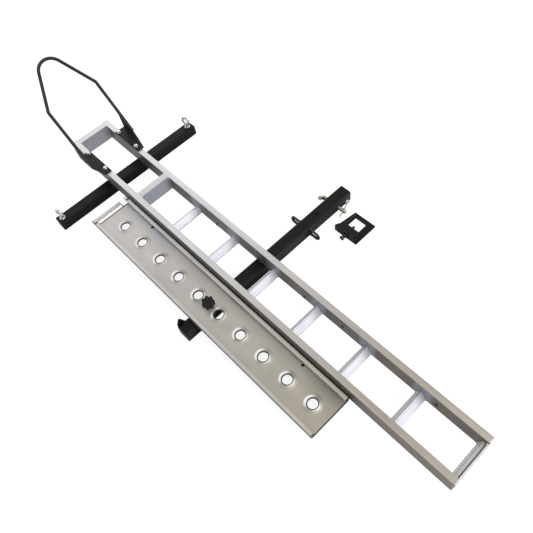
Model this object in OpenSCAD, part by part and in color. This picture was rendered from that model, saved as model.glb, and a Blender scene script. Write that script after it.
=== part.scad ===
// Hitch-mounted carrier for a light motorcycle, with its loading ramp stored beside the track.
// X runs along the track towards the loading end, Y towards the vehicle, Z up.
// Lengths along X are measured from the wheel end, lengths in Y from the track's middle
// and heights from the underside of the rails.

/* [Track] */
// Length of the track over both ends
track_l = 1911; // [1850:1:2050]
// Width over both rails
track_w = 177; // [150:1:220]
// Width of one rail tube
rail_w = 22; // [20:0.5:30]
// Height of one rail tube
rail_h = 70; // [60:1:90]
// Wall of the rail tubes
rail_wall = 2.5; // [2:0.1:3]
// Thickness of the end caps and the end strip at the loading end
cap_t = 6; // [3:0.5:10]
// Thickness of the plates that close the rails at the wheel end
shut_t = 3; // [2:0.5:6]
// Height of the end strip between the caps
end_strip_h = 64; // [50:1:70]

/* [Cross members] */
// Length along X of the end tube and the stop tube
tube_w = 28; // [20:1:40]
// Wall of the end tube and the stop tube
tube_wall = 2.5; // [1.5:0.1:4]
// Distance from the wheel end to the stop tube
stop_x = 431; // [400:1:500]
// Distance from the wheel end to the middle of the first rung
rung_first = 625; // [560:1:660]
// Distance from the loading end back to the middle of the last rung
rung_last_back = 226; // [190:1:240]
// Length along X of a rung's foot
rung_foot = 37; // [30:0.5:46]
// Length along X of a rung's flat top
rung_top = 5; // [4:0.5:16]
// Height of a rung
rung_h = 27; // [20:0.5:40]
// Height of the upright edge at a rung's foot
rung_lip = 4; // [3.6:0.1:6]
// Wall of a rung and of the end rung
rung_wall = 2.5; // [1.5:0.1:3]
// Length along X of the end rung's foot
end_rung_foot = 21; // [18:0.5:28]
// Length along X of the end rung's flat top
end_rung_top = 12; // [9:0.5:15]
// Height of the end rung
end_rung_h = 43; // [30:0.5:55]

/* [Rail screws] */
// Places of the small screws along the rails
screw_x = [736, 1196, 1370, 1737];
// Heights of the small screws
screw_z = [10, 12, 32, 30];
// Diameter of a screw's shank
screw_d = 5; // [3:0.5:6]
// Diameter of a screw's head
screw_head_d = 9; // [7:0.5:12]
// Height of a screw's head
screw_head_h = 3; // [2:0.5:5]

/* [Wheel loop] */
// Diameter of the bent rod
rod_d = 13; // [10:0.5:16]
// Angle of the loop's plane above the track
loop_tilt = 44; // [35:0.5:55]
// Length of a leg from its lower end to the bend
loop_leg = 235; // [180:1:300]
// Angle by which the sides lean in above the bends
loop_lean = 26; // [20:0.5:32]
// Bend radius between leg and side, at the rod's middle
loop_bend_r = 22; // [15:1:40]
// Bend radius at the tip, at the rod's middle
loop_tip_r = 52; // [40:1:70]
// Place of the lower end of the legs along X
loop_x = 171; // [160:1:180]
// Height of the lower end of the legs over the rails
loop_rise = 24; // [20:0.5:30]

/* [Wheel loop brackets] */
// Thickness of the bracket plate
bracket_t = 5; // [3:0.5:8]
// Place of the bracket's wheel-end edge along X
bracket_x = 97; // [90:1:105]
// Length of the bracket along X
bracket_l = 161; // [150:1:180]
// Reach of the bracket beyond the rail's outer side
bracket_reach = 27.5; // [22:0.5:36]
// Reach of the bracket's narrow end beyond the rail's outer side
bracket_nose = 9; // [4:0.5:14]
// Place of the first bolt along X
bracket_bolt_x = 111; // [106:0.5:112]
// Distance between a bracket's two bolts
bracket_bolt_pitch = 121; // [116:1:128]
// Diameter of the bracket bolts
bracket_bolt_d = 8; // [6:1:8]

/* [Tie-down bar] */
// Outer width of the square tube
tie_w = 45; // [36:0.5:48]
// Wall of the tube
tie_wall = 3; // [2:0.5:4]
// Outer corner radius of the tube
tie_r = 4; // [3:0.5:6]
// Length over the end plugs
tie_l = 696; // [600:1:800]
// Place of the bar's middle along X
tie_x = 236.7; // [220:0.5:300]
// Distance of the eye bolts from the ends of the bar
eye_inset = 22; // [21:0.5:60]
// Thickness of the end plug's face
plug_t = 3; // [2:0.5:6]
// Depth of the end plug inside the tube
plug_in = 7; // [4:0.5:8]
// Diameter of the bolt to each rail
tie_bolt_d = 8; // [6:1:10]

/* [Eye bolts] */
// Diameter of the eye bolt's shank
eye_d = 10; // [8:0.5:10]
// Diameter of the ring's round bar
eye_bar_d = 10; // [6:0.5:12]
// Radius of the ring at its round bar's middle
eye_r = 16; // [11:0.5:20]
// Turn of the near ring about its shank
eye_turn_near = 105; // [0:1:180]
// Turn of the far ring about its shank
eye_turn_far = 108; // [0:1:180]
// Gap between the nut and the ring
eye_gap = 1; // [0.5:0.5:4]
// Thickness of the washer
washer_t = 2; // [1:0.5:3]
// Outer diameter of the washer
washer_d = 24; // [20:1:28]

/* [Hitch bar] */
// Outer width of the square bar
bar_w = 50.8; // [50:0.1:52]
// Wall of the bar
bar_wall = 6.35; // [4:0.05:7]
// Outer corner radius of the bar
bar_r = 7; // [4:0.5:9]
// Place of the bar's middle along X
bar_x = 978; // [940:1:1010]
// Reach of the bar towards the vehicle
bar_front = 516; // [480:1:600]
// Reach of the bar beyond the ramp, on the other side
bar_back = 306; // [300:1:340]
// Diameter of the bolts to the rails
bar_bolt_d = 8; // [6:1:9]
// Half the distance between the two bolts to one rail
bar_bolt_off = 10; // [9.5:0.5:11]
// Distance of the threaded hole from the vehicle end
rattle_back = 160; // [130:1:200]
// Diameter of the threaded hole in the top wall
rattle_d = 10; // [8:1:14]
// Thickness of the tab at the bar's free end
tab_t = 5; // [3:0.5:8]
// Length of the tab's foot along Y
tab_l = 28; // [20:1:40]
// Height of the tab over the bar
tab_h = 26; // [15:1:40]

/* [Chain loops] */
// Distance of the chain loops from the vehicle end
chain_back = 223; // [200:1:260]
// Diameter of the loops' round bar
chain_d = 10; // [8:0.5:12]
// Radius of the loop's round end at its bar's middle
chain_r = 13; // [9:0.5:16]
// Straight length of a loop's legs
chain_leg = 30; // [20:1:45]

/* [Hitch pin and clip] */
// Diameter of the hitch pin
pin_d = 15.8; // [15:0.1:16]
// Clearance around the pin in its holes
pin_gap = 0.3; // [0.1:0.05:0.6]
// Distance of the pin from the vehicle end
pin_back = 70; // [60:1:90]
// Reach of the pin beyond the bar on the clip's side
pin_reach = 37; // [32:0.5:45]
// Bend radius of the handle at the pin's middle
pin_bend_r = 16; // [14:0.5:24]
// Clear distance between the bar and the start of the handle's bend
pin_out = 4; // [2:0.5:20]
// Straight length of the handle beyond its bend
pin_handle = 19; // [8:1:60]
// Turn of the handle above the horizontal
pin_turn = 39; // [0:1:60]
// Length of the chamfer at the pin's end
pin_tip = 2; // [1:0.5:3]
// Diameter of the clip's wire
clip_d = 3.2; // [2.5:0.1:4]
// Distance of the clip's hole from the pin's end
clip_in = 11; // [8:0.5:16]
// Slant of the clip's straight leg above the horizontal
clip_slant = 50; // [0:1:90]
// Reach of the straight leg beyond the pin's middle
clip_tip = 27; // [20:0.5:28]
// Distance from the pin's middle to the clip's ring
clip_neck = 40; // [34:0.5:44]
// Radius of the clip's ring at its wire's middle
clip_ring_r = 7; // [6.5:0.5:9]
// Bend radius on both sides of the bowed leg's grip
clip_bend_r = 6; // [4:0.5:8]
// Slope of the bowed leg beside its grip
clip_slope = 20; // [15:1:30]
// Reach of the bowed leg's grip past the pin's middle
clip_grip = 13; // [8:0.5:18]
// Length of the bowed leg's flared end
clip_flare = 8; // [3:0.5:12]

/* [Ramp] */
// Thickness of the ramp's sheet
sheet_t = 3; // [2:0.5:4]
// Width of the ramp over its upturned edges
ramp_w = 165; // [150:1:180]
// Gap between the ramp and the near rail
ramp_gap = 4; // [2:0.5:20]
// Height of the ramp's upturned edges
ramp_edge_h = 21; // [15:0.5:30]
// Width of the edges' inward lips
ramp_lip = 13; // [6:0.5:16]
// Length over which the upturned edges slope down at the hook end
ramp_slope_l = 15; // [5:0.5:30]
// Length of the ramp from the hitch bar's middle to its hook end
ramp_back_l = 629; // [560:1:640]
// Length of the ramp from the hitch bar's middle to its other end
ramp_front_l = 563; // [520:1:700]
// Length of the notch between the deck and the hook end
hook_l = 32; // [26:1:50]
// Length along X of the hook strip
hook_strip = 16; // [10:0.5:18]
// Width of the hook strip's arms
hook_arm = 5; // [4:0.5:10]
// Drop of the hook's lip below the deck
hook_drop = 11; // [6:0.5:20]
// Side gap of the hook strip on the near side
hook_gap_near = 0.5; // [0.5:0.5:10]
// Side gap of the hook strip on the far side
hook_gap_far = 17.5; // [1:0.5:20]
// Distance of the row of raised holes from the ramp's near side
ramp_row = 79; // [70:1:95]
// Number of raised holes
dimple_count = 10; // [8:1:10]
// Number of raised holes between the hook end and the knob
dimple_before = 5; // [4:1:5]
// Distance between raised holes
dimple_pitch = 110.8; // [96:0.1:112]
// Distance from the knob back to the nearest raised hole
dimple_off = 62; // [48:0.5:62]
// Radius of a raised hole
dimple_hole_r = 17; // [10:0.5:20]
// Radius of the raised cone at its foot
dimple_foot_r = 32; // [26:0.5:34]
// Height of the raised cone
dimple_h = 4.5; // [2:0.5:7]
// Diameter of the small holes beside the far edge
strap_hole_d = 8; // [5:0.5:10]
// Distance of the small holes from the ramp's far side
strap_in = 17.5; // [8:0.5:20]
// Distance from the knob back to the first small hole
strap_back = 424; // [400:1:440]
// Distance between the first and the last small hole
strap_pitch = 806; // [780:1:900]

/* [Star knob] */
// Diameter over the knob's lobes
knob_d = 46; // [40:1:52]
// Number of lobes
knob_lobes = 7; // [5:1:9]
// Radius of one lobe
lobe_r = 6.5; // [5:0.5:8]
// Height of the lobed head
knob_h = 20; // [12:0.5:26]
// Height of the round neck under the head
knob_neck_h = 14; // [8:0.5:20]
// Diameter of the neck
knob_neck_d = 24; // [20:0.5:26]
// Diameter of the stud
stud_d = 10; // [8:0.5:12]
// Reach of the stud below the deck
stud_reach = 18; // [12:0.5:24]

/* [Window bracket] */
// Thickness of the bracket's plate
plate_t = 6.3; // [4:0.1:10]
// Length of the plate along X
plate_x = 98; // [94:1:120]
// Length of the plate along Y
plate_y = 109; // [106:1:130]
// Play of the bar in the bracket's window
window_gap = 0.8; // [0.5:0.1:3]
// Distance from the plate's left edge to the window
window_x = 17.5; // [12:0.5:22]
// Distance from the plate's lower edge to the window
window_y = 39; // [30:0.5:45]
// Distance from the pin's end to the plate
plate_gap = 19; // [14:1:60]
// Distance from the vehicle end back to the plate's lower edge
plate_back = 143; // [130:1:160]
// Height of the jaw block over the plate, at the plate's lower edge
jaw_h = 25; // [22:0.5:40]
// Overhang of the jaw block beyond the plate's left edge
jaw_over = 6.5; // [2:0.5:12]
// Length of the jaw block along X
jaw_l = 88; // [80:1:92]
// Start of the jaw block's slanted side, from the plate's lower edge
jaw_cut = 7; // [2:0.5:10]
// End of the jaw block's slanted side, from the plate's lower edge
jaw_cut_end = 24; // [16:0.5:30]
// Diameter of the clamp screw
clamp_d = 10; // [8:0.5:12]
// Place of the clamp screw along the plate
clamp_x = 46; // [40:1:60]
// Height of the clamp screw over the plate
clamp_up = 9; // [8:0.5:9]
// Bare thread between the lock nut and the head of the clamp screw
clamp_out = 7.5; // [2:0.5:12]
// Reach of the screw's end into the window
clamp_in = 11; // [4:0.5:20]

/* [Fits] */
// Clearance around fixed bolts in their holes
bolt_gap = 0.5; // [0.2:0.05:1]
// Clearance around threads, drawn as plain shanks
thread_gap = 0.05; // [0.02:0.01:0.1]
// Clearance of plugs and strips inside their tubes
fill_gap = 0.3; // [0.1:0.05:0.6]
// Thickness of the tapped strips inside the rails
strip_t = 6; // [4:0.5:10]
// Length of a bolt beyond its strip or nut
bolt_past = 2; // [1:0.5:3]
// Length by which a straight stretch laps into a bend, and how much thicker the bend is
bend_lap = 0.4; // [0.2:0.1:0.6]
bend_step = 0.05; // [0.04:0.01:0.1]
// Length of the tapped strips beyond their outer bolts
strip_end = 14; // [8:1:20]
// Radius of the openings that give access to the bolts inside a bar
access_r = 8.8; // [8:0.1:9]

/* [Hidden] */
$fn = 48;
cut = 1;
rail_y = (track_w - rail_w) / 2;
inner_y = track_w / 2 - rail_w;
end_x = track_l - cap_t;
rung_pitch = (track_l - rung_last_back - rung_first) / 5;
rung_slope = atan(2 * (rung_h - rung_lip) / (rung_foot - rung_top));
rail_in_w = rail_w - 2 * rail_wall;
rail_out = track_w / 2;
rod_r = rod_d / 2;
fin_y = rail_out + bracket_reach - bracket_t / 2;
loop_z = rail_h + loop_rise;
loop_bend_t = loop_bend_r * tan(loop_lean / 2);
loop_side_s = loop_leg + (fin_y - loop_tip_r * cos(loop_lean)) / tan(loop_lean);
loop_tip_s = loop_side_s - loop_tip_r * sin(loop_lean);
loop_far_s = loop_tip_s + loop_tip_r;
eye_y = tie_l / 2 - eye_inset;
eye_nut_h = 0.8 * eye_d;
eye_z = washer_t + eye_nut_h + eye_gap + eye_r + eye_bar_d / 2;
bar_side = bar_w / 2;
pin_y = bar_front - pin_back;
pin_end = bar_x + bar_side + pin_reach;
pin_hole_r = pin_d / 2 + pin_gap;
clip_x = pin_end - clip_in;
clip_r = clip_d / 2;
clip_off = pin_d / 2 + clip_r + fill_gap;
clip_pitch = clip_d + fill_gap;
ramp_far = -rail_out - ramp_gap;
ramp_mid = ramp_far - ramp_w / 2;
ramp_near = ramp_far - ramp_w;
ramp_row_y = ramp_near + ramp_row;
deck_x = bar_x - ramp_back_l + hook_l;
ramp_end = bar_x + ramp_front_l;
stud_r = stud_d / 2;
weld_nut_h = 0.8 * stud_d;
plate_x0 = pin_end + plate_gap;
plate_y0 = bar_front - plate_back;
window_w = bar_w + window_gap;
clamp_nut_h = 0.8 * clamp_d;
clamp_z = -bar_w + plate_t + clamp_up;
x_low = loop_x - loop_far_s * cos(loop_tilt) - rod_r - bend_step;
y_low = -max(tie_l / 2, bar_back);
mid_x = (x_low + track_l) / 2;
mid_y = (y_low + bar_front) / 2;

// Puts the origin on the floor under the middle of the whole object
module place()
    translate([-mid_x, -mid_y, bar_w]) children();

// Both rails get the same small part
module both_rails()
    for (side = [-1, 1]) translate([0, side * rail_y, 0]) children();

// Profile in X and Z, drawn out along Y between the rails
module between_rails(half)
    rotate([90, 0, 0]) linear_extrude(2 * half, center = true) children();

// Square with round corners
module round_square(w, r) {
    square([w, w - 2 * r], center = true);
    square([w - 2 * r, w], center = true);
    for (sx = [-1, 1], sy = [-1, 1])
        translate([sx * (w / 2 - r), sy * (w / 2 - r)]) circle(r);
}

// Square tube along Y from y0 to y1, its top face at height 0
module bar_tube(w, wall, r, y0, y1)
    translate([0, y0, -w / 2]) rotate([-90, 0, 0]) linear_extrude(y1 - y0) difference() {
        round_square(w, r);
        round_square(w - 2 * wall, max(r - wall, 0.8));
    }

// Plug of a square tube, with its face at y = 0 and its stub towards +Y
module bar_plug(w, wall, r, face, stub)
    translate([0, 0, -w / 2]) rotate([-90, 0, 0]) {
        linear_extrude(face) round_square(w, r);
        linear_extrude(face + stub) round_square(w - 2 * wall - 2 * fill_gap, max(r - wall, 0.8));
    }

// Upright hex head or nut with its underside at height 0; across_flats is 1.6 to 1.7 times the thread
module hex(across_flats, h)
    cylinder(d = across_flats / cos(30), h = h, $fn = 6);

// Nut with a plain bore
module nut(d, h)
    difference() {
        hex(1.65 * d, h);
        translate([0, 0, -cut]) cylinder(r = d / 2 + thread_gap, h = h + 2 * cut);
    }

// Washer with its underside at height 0
module washer(d_out, d_in, t)
    difference() {
        cylinder(d = d_out, h = t);
        translate([0, 0, -cut]) cylinder(d = d_in, h = t + 2 * cut);
    }

// Arc of round bar about Z, starting on +X
module round_arc(bend_r, bar_r, angle)
    rotate_extrude(angle = angle) translate([bend_r, 0]) circle(bar_r);

// Round bar along +X
module round_bar(len, r)
    rotate([0, 90, 0]) cylinder(h = len, r = r);

// Tapped strip under a row of bolts along X, with its underside at height 0
module strip(xs, d)
    difference() {
        translate([min(xs) - strip_end, -rail_in_w / 2 + fill_gap, 0])
            cube([max(xs) - min(xs) + 2 * strip_end, rail_in_w - 2 * fill_gap, strip_t]);
        for (x = xs) translate([x, 0, -cut]) cylinder(r = d / 2 + thread_gap, h = strip_t + 2 * cut);
    }

bracket_bolts_at = [bracket_bolt_x, bracket_bolt_x + bracket_bolt_pitch];
bar_bolts_at = [bar_x - bar_bolt_off, bar_x + bar_bolt_off];

// One rail tube, its outer side towards +Y
module rail() {
    difference() {
        translate([shut_t, -rail_w / 2, 0]) cube([end_x - shut_t, rail_w, rail_h]);
        translate([shut_t - cut, -rail_in_w / 2, rail_wall])
            cube([end_x - shut_t + 2 * cut, rail_in_w, rail_h - 2 * rail_wall]);
        for (x = bracket_bolts_at) translate([x, 0, rail_h - rail_wall - cut])
            cylinder(r = bracket_bolt_d / 2 + bolt_gap, h = rail_wall + 2 * cut);
        translate([tie_x, 0, -cut]) cylinder(r = tie_bolt_d / 2 + bolt_gap, h = rail_wall + 2 * cut);
        for (x = bar_bolts_at) translate([x, 0, -cut])
            cylinder(r = bar_bolt_d / 2 + bolt_gap, h = rail_wall + 2 * cut);
        for (i = [0 : len(screw_x) - 1]) translate([screw_x[i], -rail_w / 2 - cut, screw_z[i]])
            rotate([-90, 0, 0]) cylinder(r = screw_d / 2 + thread_gap, h = rail_wall + 2 * cut);
    }
}

module rail_far() color("#b9b6b2") place() translate([0, rail_y, 0]) rail();

module rail_near() color("#b9b6b2") place() mirror([0, 1, 0]) translate([0, rail_y, 0]) rail();

module cross_tube(x)
    translate([x, -inner_y, 0]) difference() {
        cube([tube_w, 2 * inner_y, rail_h]);
        translate([tube_wall, -cut, tube_wall])
            cube([tube_w - 2 * tube_wall, 2 * inner_y + 2 * cut, rail_h - 2 * tube_wall]);
    }

module end_tube() color("#c4c4c6") place() cross_tube(0);

module stop_tube() color("#c4c4c6") place() cross_tube(stop_x);

module roof(foot, top, low, lip, h)
    polygon([[-foot / 2, low], [foot / 2, low], [foot / 2, lip], [top / 2, h], [-top / 2, h],
        [-foot / 2, lip]]);

module rung(index)
    color("#dfe2ee") place() translate([rung_first + index * rung_pitch, 0, 0]) between_rails(inner_y)
        difference() {
            roof(rung_foot, rung_top, 0, rung_lip, rung_h);
            roof(rung_foot - 2 * rung_wall, rung_top - 2 * rung_wall * tan(rung_slope / 2), rung_wall,
                rung_lip + rung_wall * (tan(rung_slope) - 1 / cos(rung_slope)), rung_h - rung_wall);
        }

module end_rung_profile(foot, top, h)
    polygon([[-foot, 0], [0, 0], [0, h], [-top, h]]);

module end_rung() color("#dfe2ee") place() translate([end_x, 0, 0]) between_rails(inner_y)
    difference() {
        end_rung_profile(end_rung_foot, end_rung_top, end_rung_h);
        translate([-rung_wall, rung_wall]) end_rung_profile(end_rung_foot - 2 * rung_wall,
            end_rung_top - 2 * rung_wall, end_rung_h - 2 * rung_wall);
    }

module end_strip() color("#c9c3bd") place()
    translate([end_x, -inner_y, 0]) cube([cap_t, 2 * inner_y, end_strip_h]);

module rail_end_caps() color("#dcdcdc") place() both_rails()
    translate([end_x, -rail_w / 2, 0]) cube([cap_t, rail_w, rail_h]);

module rail_shut_plates() color("#b9b6b2") place() both_rails()
    translate([0, -rail_w / 2, 0]) cube([shut_t, rail_w, rail_h]);

module rail_screws() color("#9a9a98") place()
    for (side = [0, 1]) mirror([0, side, 0])
        for (i = [0 : len(screw_x) - 1]) translate([screw_x[i], inner_y, screw_z[i]]) rotate([90, 0, 0]) {
            cylinder(d = screw_head_d, h = screw_head_h);
            translate([0, 0, -rail_wall - bolt_past]) cylinder(d = screw_d, h = rail_wall + bolt_past);
        }

// The loop's plane, with X along the legs and the lower ends of the legs at X = 0
module loop_plane()
    translate([loop_x, 0, loop_z]) rotate([0, 180 + loop_tilt, 0]) children();

// Straight stretch of the loop's rod, lapped into the bends at both of its ends
module loop_bar(len)
    translate([-bend_lap, 0, 0]) round_bar(len + 2 * bend_lap, rod_r);

module wheel_loop() color("#1b1b1d") place() loop_plane() {
    for (side = [0, 1]) mirror([0, side, 0]) {
        translate([bend_lap, fin_y, 0]) loop_bar(loop_leg - loop_bend_t - bend_lap);
        translate([loop_leg - loop_bend_t, fin_y - loop_bend_r, 0]) rotate([0, 0, 90 - loop_lean])
            round_arc(loop_bend_r, rod_r + bend_step, loop_lean);
        translate([loop_leg, fin_y, 0]) rotate([0, 0, -loop_lean]) translate([loop_bend_t, 0, 0])
            loop_bar((loop_side_s - loop_leg) / cos(loop_lean) - loop_bend_t);
    }
    translate([loop_tip_s, 0, 0]) rotate([0, 0, loop_lean - 90])
        round_arc(loop_tip_r, rod_r + bend_step, 180 - 2 * loop_lean);
}

// One bracket: a flange on the rail and a fin that carries the rod
module bracket() {
    reach = fin_y + bracket_t / 2;
    nose = rail_out + bracket_nose;
    fin_end = loop_x + rod_r / sin(loop_tilt) + 4;
    difference() {
        union() {
            translate([0, 0, rail_h]) linear_extrude(bracket_t) polygon([
                [bracket_x, inner_y], [bracket_x + bracket_l, inner_y], [bracket_x + bracket_l, nose],
                [fin_end, reach], [bracket_x, reach]]);
            translate([0, fin_y, 0]) rotate([90, 0, 0]) linear_extrude(bracket_t, center = true)
                polygon([[bracket_x, rail_h], [fin_end, rail_h], [fin_end, rail_h + bracket_t],
                    [loop_x, loop_z], [bracket_x, loop_z + (loop_x - bracket_x) * tan(loop_tilt)]]);
        }
        loop_plane() translate([-fill_gap, fin_y, 0]) round_bar(2 * bracket_l, rod_r + thread_gap);
        for (x = bracket_bolts_at) translate([x, rail_y, rail_h - cut])
            cylinder(r = bracket_bolt_d / 2 + bolt_gap, h = bracket_t + 2 * cut);
    }
}

module bracket_far() color("#1b1b1d") place() bracket();

module bracket_near() color("#1b1b1d") place() mirror([0, 1, 0]) bracket();

module bracket_bolts() color("#c8cbd0") place() both_rails() for (x = bracket_bolts_at)
    translate([x, 0, rail_h + bracket_t + washer_t]) {
        hex(1.65 * bracket_bolt_d, 0.65 * bracket_bolt_d);
        stem = washer_t + bracket_t + rail_wall + strip_t + bolt_past;
        translate([0, 0, -stem]) cylinder(d = bracket_bolt_d, h = stem);
    }

module bracket_washers() color("#c8cbd0") place() both_rails() for (x = bracket_bolts_at)
    translate([x, 0, rail_h + bracket_t]) washer(2 * bracket_bolt_d, bracket_bolt_d + bolt_gap, washer_t);

module bracket_strips() color("#8d8f92") place() both_rails()
    translate([0, 0, rail_h - rail_wall - strip_t]) strip(bracket_bolts_at, bracket_bolt_d);

// Bolts from inside a bar up into a strip in the rail; under is the height of the bar's inner top face
module inside_bolts(xs, d, under) both_rails() for (x = xs) {
    translate([x, 0, under - 0.65 * d]) hex(1.65 * d, 0.65 * d);
    translate([x, 0, under]) cylinder(d = d, h = rail_wall - under + strip_t + bolt_past);
}

module tie_bar() color("#1b1b1d") place() translate([tie_x, 0, 0]) difference() {
    bar_tube(tie_w, tie_wall, tie_r, -tie_l / 2 + plug_t, tie_l / 2 - plug_t);
    both_rails() translate([0, 0, -tie_wall - cut])
        cylinder(r = tie_bolt_d / 2 + bolt_gap, h = tie_wall + 2 * cut);
    both_rails() translate([0, 0, -tie_w - cut]) cylinder(r = access_r, h = tie_wall + 2 * cut);
    for (side = [-1, 1]) translate([0, side * eye_y, -tie_wall - cut])
        cylinder(r = eye_d / 2 + bolt_gap, h = tie_wall + 2 * cut);
}

module tie_bar_plugs() color("#141415") place() translate([tie_x, 0, 0])
    for (side = [0, 1]) mirror([0, side, 0]) translate([0, -tie_l / 2, 0])
        bar_plug(tie_w, tie_wall, tie_r, plug_t, plug_in);

module tie_bar_bolts() color("#c8cbd0") place() inside_bolts([tie_x], tie_bolt_d, -tie_wall);

module tie_bar_strips() color("#8d8f92") place() both_rails()
    translate([0, 0, rail_wall]) strip([tie_x], tie_bolt_d);

module eye_bolt(turn) translate([0, 0, eye_z]) rotate([0, 0, turn]) {
    stem = eye_z + tie_wall + eye_nut_h + bolt_past;
    rotate([0, 90, 0]) round_arc(eye_r, eye_bar_d / 2, 360);
    translate([0, 0, -stem]) cylinder(d = eye_d, h = stem - eye_r - eye_bar_d / 4);
}

module eye_bolt_near() color("#c8cbd0") place() translate([tie_x, -eye_y, 0]) eye_bolt(eye_turn_near);

module eye_bolt_far() color("#c8cbd0") place() translate([tie_x, eye_y, 0]) eye_bolt(eye_turn_far);

module at_eyes(z) place() for (side = [-1, 1]) translate([tie_x, side * eye_y, z]) children();

module eye_washers() color("#c8cbd0") at_eyes(0) washer(washer_d, eye_d + bolt_gap, washer_t);

module eye_nuts() color("#c8cbd0") at_eyes(washer_t) nut(eye_d, eye_nut_h);

module eye_lock_nuts() color("#c8cbd0") at_eyes(-tie_wall - eye_nut_h) nut(eye_d, eye_nut_h);

module hitch_bar() color("#1b1b1d") place() translate([bar_x, 0, 0]) difference() {
    bar_tube(bar_w, bar_wall, bar_r, -bar_back + plug_t, bar_front);
    translate([-bar_w, pin_y, -bar_w / 2]) round_bar(2 * bar_w, pin_hole_r);
    translate([0, bar_front - rattle_back, -bar_wall - cut])
        cylinder(d = rattle_d, h = bar_wall + 2 * cut);
    translate([0, ramp_row_y, -bar_wall - cut]) cylinder(r = stud_r + bolt_gap, h = bar_wall + 2 * cut);
    both_rails() for (side = [-1, 1]) translate([side * bar_bolt_off, 0, -bar_wall - cut])
        cylinder(r = bar_bolt_d / 2 + bolt_gap, h = bar_wall + 2 * cut);
    both_rails() for (side = [-1, 1]) translate([side * bar_bolt_off, 0, -bar_w - cut])
        cylinder(r = access_r, h = bar_wall + 2 * cut);
}

module hitch_bar_plug() color("#141415") place() translate([bar_x, -bar_back, 0])
    bar_plug(bar_w, bar_wall, bar_r, plug_t, 2 * plug_in);

module bar_end_tab() color("#1b1b1d") place() translate([bar_x - bar_side - tab_t, -bar_back + plug_t, 0])
    rotate([90, 0, 90]) linear_extrude(tab_t) polygon([
        [0, -bar_w / 2], [tab_l, -bar_w / 2], [tab_l, 0], [0.62 * tab_l, tab_h], [0.4 * tab_l, tab_h],
        [0, 0]]);

module chain_loop()
    translate([bar_side, bar_front - chain_back, -bar_w / 2]) rotate([90, 0, 0]) {
        for (side = [-1, 1]) translate([0, side * chain_r, 0]) round_bar(chain_leg, chain_d / 2);
        translate([chain_leg, 0, 0]) rotate([0, 0, -90]) round_arc(chain_r, chain_d / 2, 180);
    }

module chain_loop_right() color("#1b1b1d") place() translate([bar_x, 0, 0]) chain_loop();

module chain_loop_left() color("#1b1b1d") place() translate([bar_x, 0, 0]) mirror([1, 0, 0]) chain_loop();

module hitch_bar_bolts() color("#c8cbd0") place() inside_bolts(bar_bolts_at, bar_bolt_d, -bar_wall);

module hitch_bar_strips() color("#8d8f92") place() both_rails()
    translate([0, 0, rail_wall]) strip(bar_bolts_at, bar_bolt_d);

module knob_weld_nut() color("#8d8f92") place()
    translate([bar_x, ramp_row_y, -bar_wall - weld_nut_h]) nut(stud_d, weld_nut_h);

// Upturned edge with its inward lip, seen along X; the outer side is at y = 0
module ramp_edge()
    polygon([[0, 0], [sheet_t, 0], [sheet_t, ramp_edge_h - sheet_t], [ramp_lip, ramp_edge_h - sheet_t],
        [ramp_lip, ramp_edge_h], [0, ramp_edge_h]]);

dimples_at = [for (i = [0 : dimple_count - 1])
    bar_x - dimple_off + (i - dimple_before + 1) * dimple_pitch];

module ramp_deck() color("#bdb8b2") place() difference() {
    union() {
        translate([deck_x, ramp_near + sheet_t, 0])
            cube([ramp_end - deck_x, ramp_w - 2 * sheet_t, sheet_t]);
        for (side = [0, 1]) translate([deck_x - hook_l, ramp_mid, 0]) mirror([0, side, 0])
            translate([0, -ramp_w / 2, 0]) rotate([90, 0, 90]) linear_extrude(ramp_end - deck_x + hook_l)
                ramp_edge();
        for (x = dimples_at) translate([x, ramp_row_y, sheet_t])
            cylinder(r1 = dimple_foot_r, r2 = dimple_hole_r + 2, h = dimple_h);
    }
    translate([deck_x - hook_l, ramp_far + cut, 0]) rotate([90, 0, 0]) linear_extrude(ramp_w + 2 * cut)
        polygon([[-cut, sheet_t], [0, sheet_t], [ramp_slope_l, ramp_edge_h + cut],
            [-cut, ramp_edge_h + cut]]);
    for (x = dimples_at) translate([x, ramp_row_y, 0]) {
        cylinder(r1 = dimple_foot_r, r2 = dimple_hole_r + 2, h = dimple_h);
        translate([0, 0, -cut]) cylinder(r = dimple_foot_r, h = cut);
        translate([0, 0, -cut]) cylinder(r = dimple_hole_r, h = sheet_t + dimple_h + 2 * cut);
    }
    translate([bar_x, ramp_row_y, -cut]) cylinder(r = stud_r + bolt_gap, h = sheet_t + 2 * cut);
    for (x = [0, strap_pitch]) translate([bar_x - strap_back + x, ramp_far - strap_in, -cut])
        cylinder(d = strap_hole_d, h = sheet_t + 2 * cut);
}

module ramp_hook() color("#bdb8b2") place() {
    near = ramp_near + ramp_lip + hook_gap_near;
    far = ramp_far - ramp_lip - hook_gap_far;
    tip = deck_x - hook_l;
    difference() {
        union() {
            translate([tip, near, 0]) cube([hook_l, far - near, sheet_t]);
            translate([tip, near, -hook_drop]) cube([sheet_t, far - near, hook_drop]);
        }
        translate([tip + hook_strip, near + hook_arm, -cut])
            cube([hook_l, far - near - 2 * hook_arm, sheet_t + 2 * cut]);
    }
}

module knob_grip() color("#141415") place() translate([bar_x, ramp_row_y, sheet_t + washer_t]) difference() {
    lobe_at = knob_d / 2 - lobe_r;
    union() {
        cylinder(d = knob_neck_d, h = knob_neck_h);
        translate([0, 0, knob_neck_h]) linear_extrude(knob_h) {
            circle(lobe_at + 0.3 * lobe_r);
            for (i = [0 : knob_lobes - 1])
                rotate(i * 360 / knob_lobes) translate([lobe_at, 0]) circle(lobe_r);
        }
    }
    translate([0, 0, -cut]) cylinder(r = stud_r + thread_gap, h = knob_neck_h + 0.7 * knob_h + cut);
}

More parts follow.
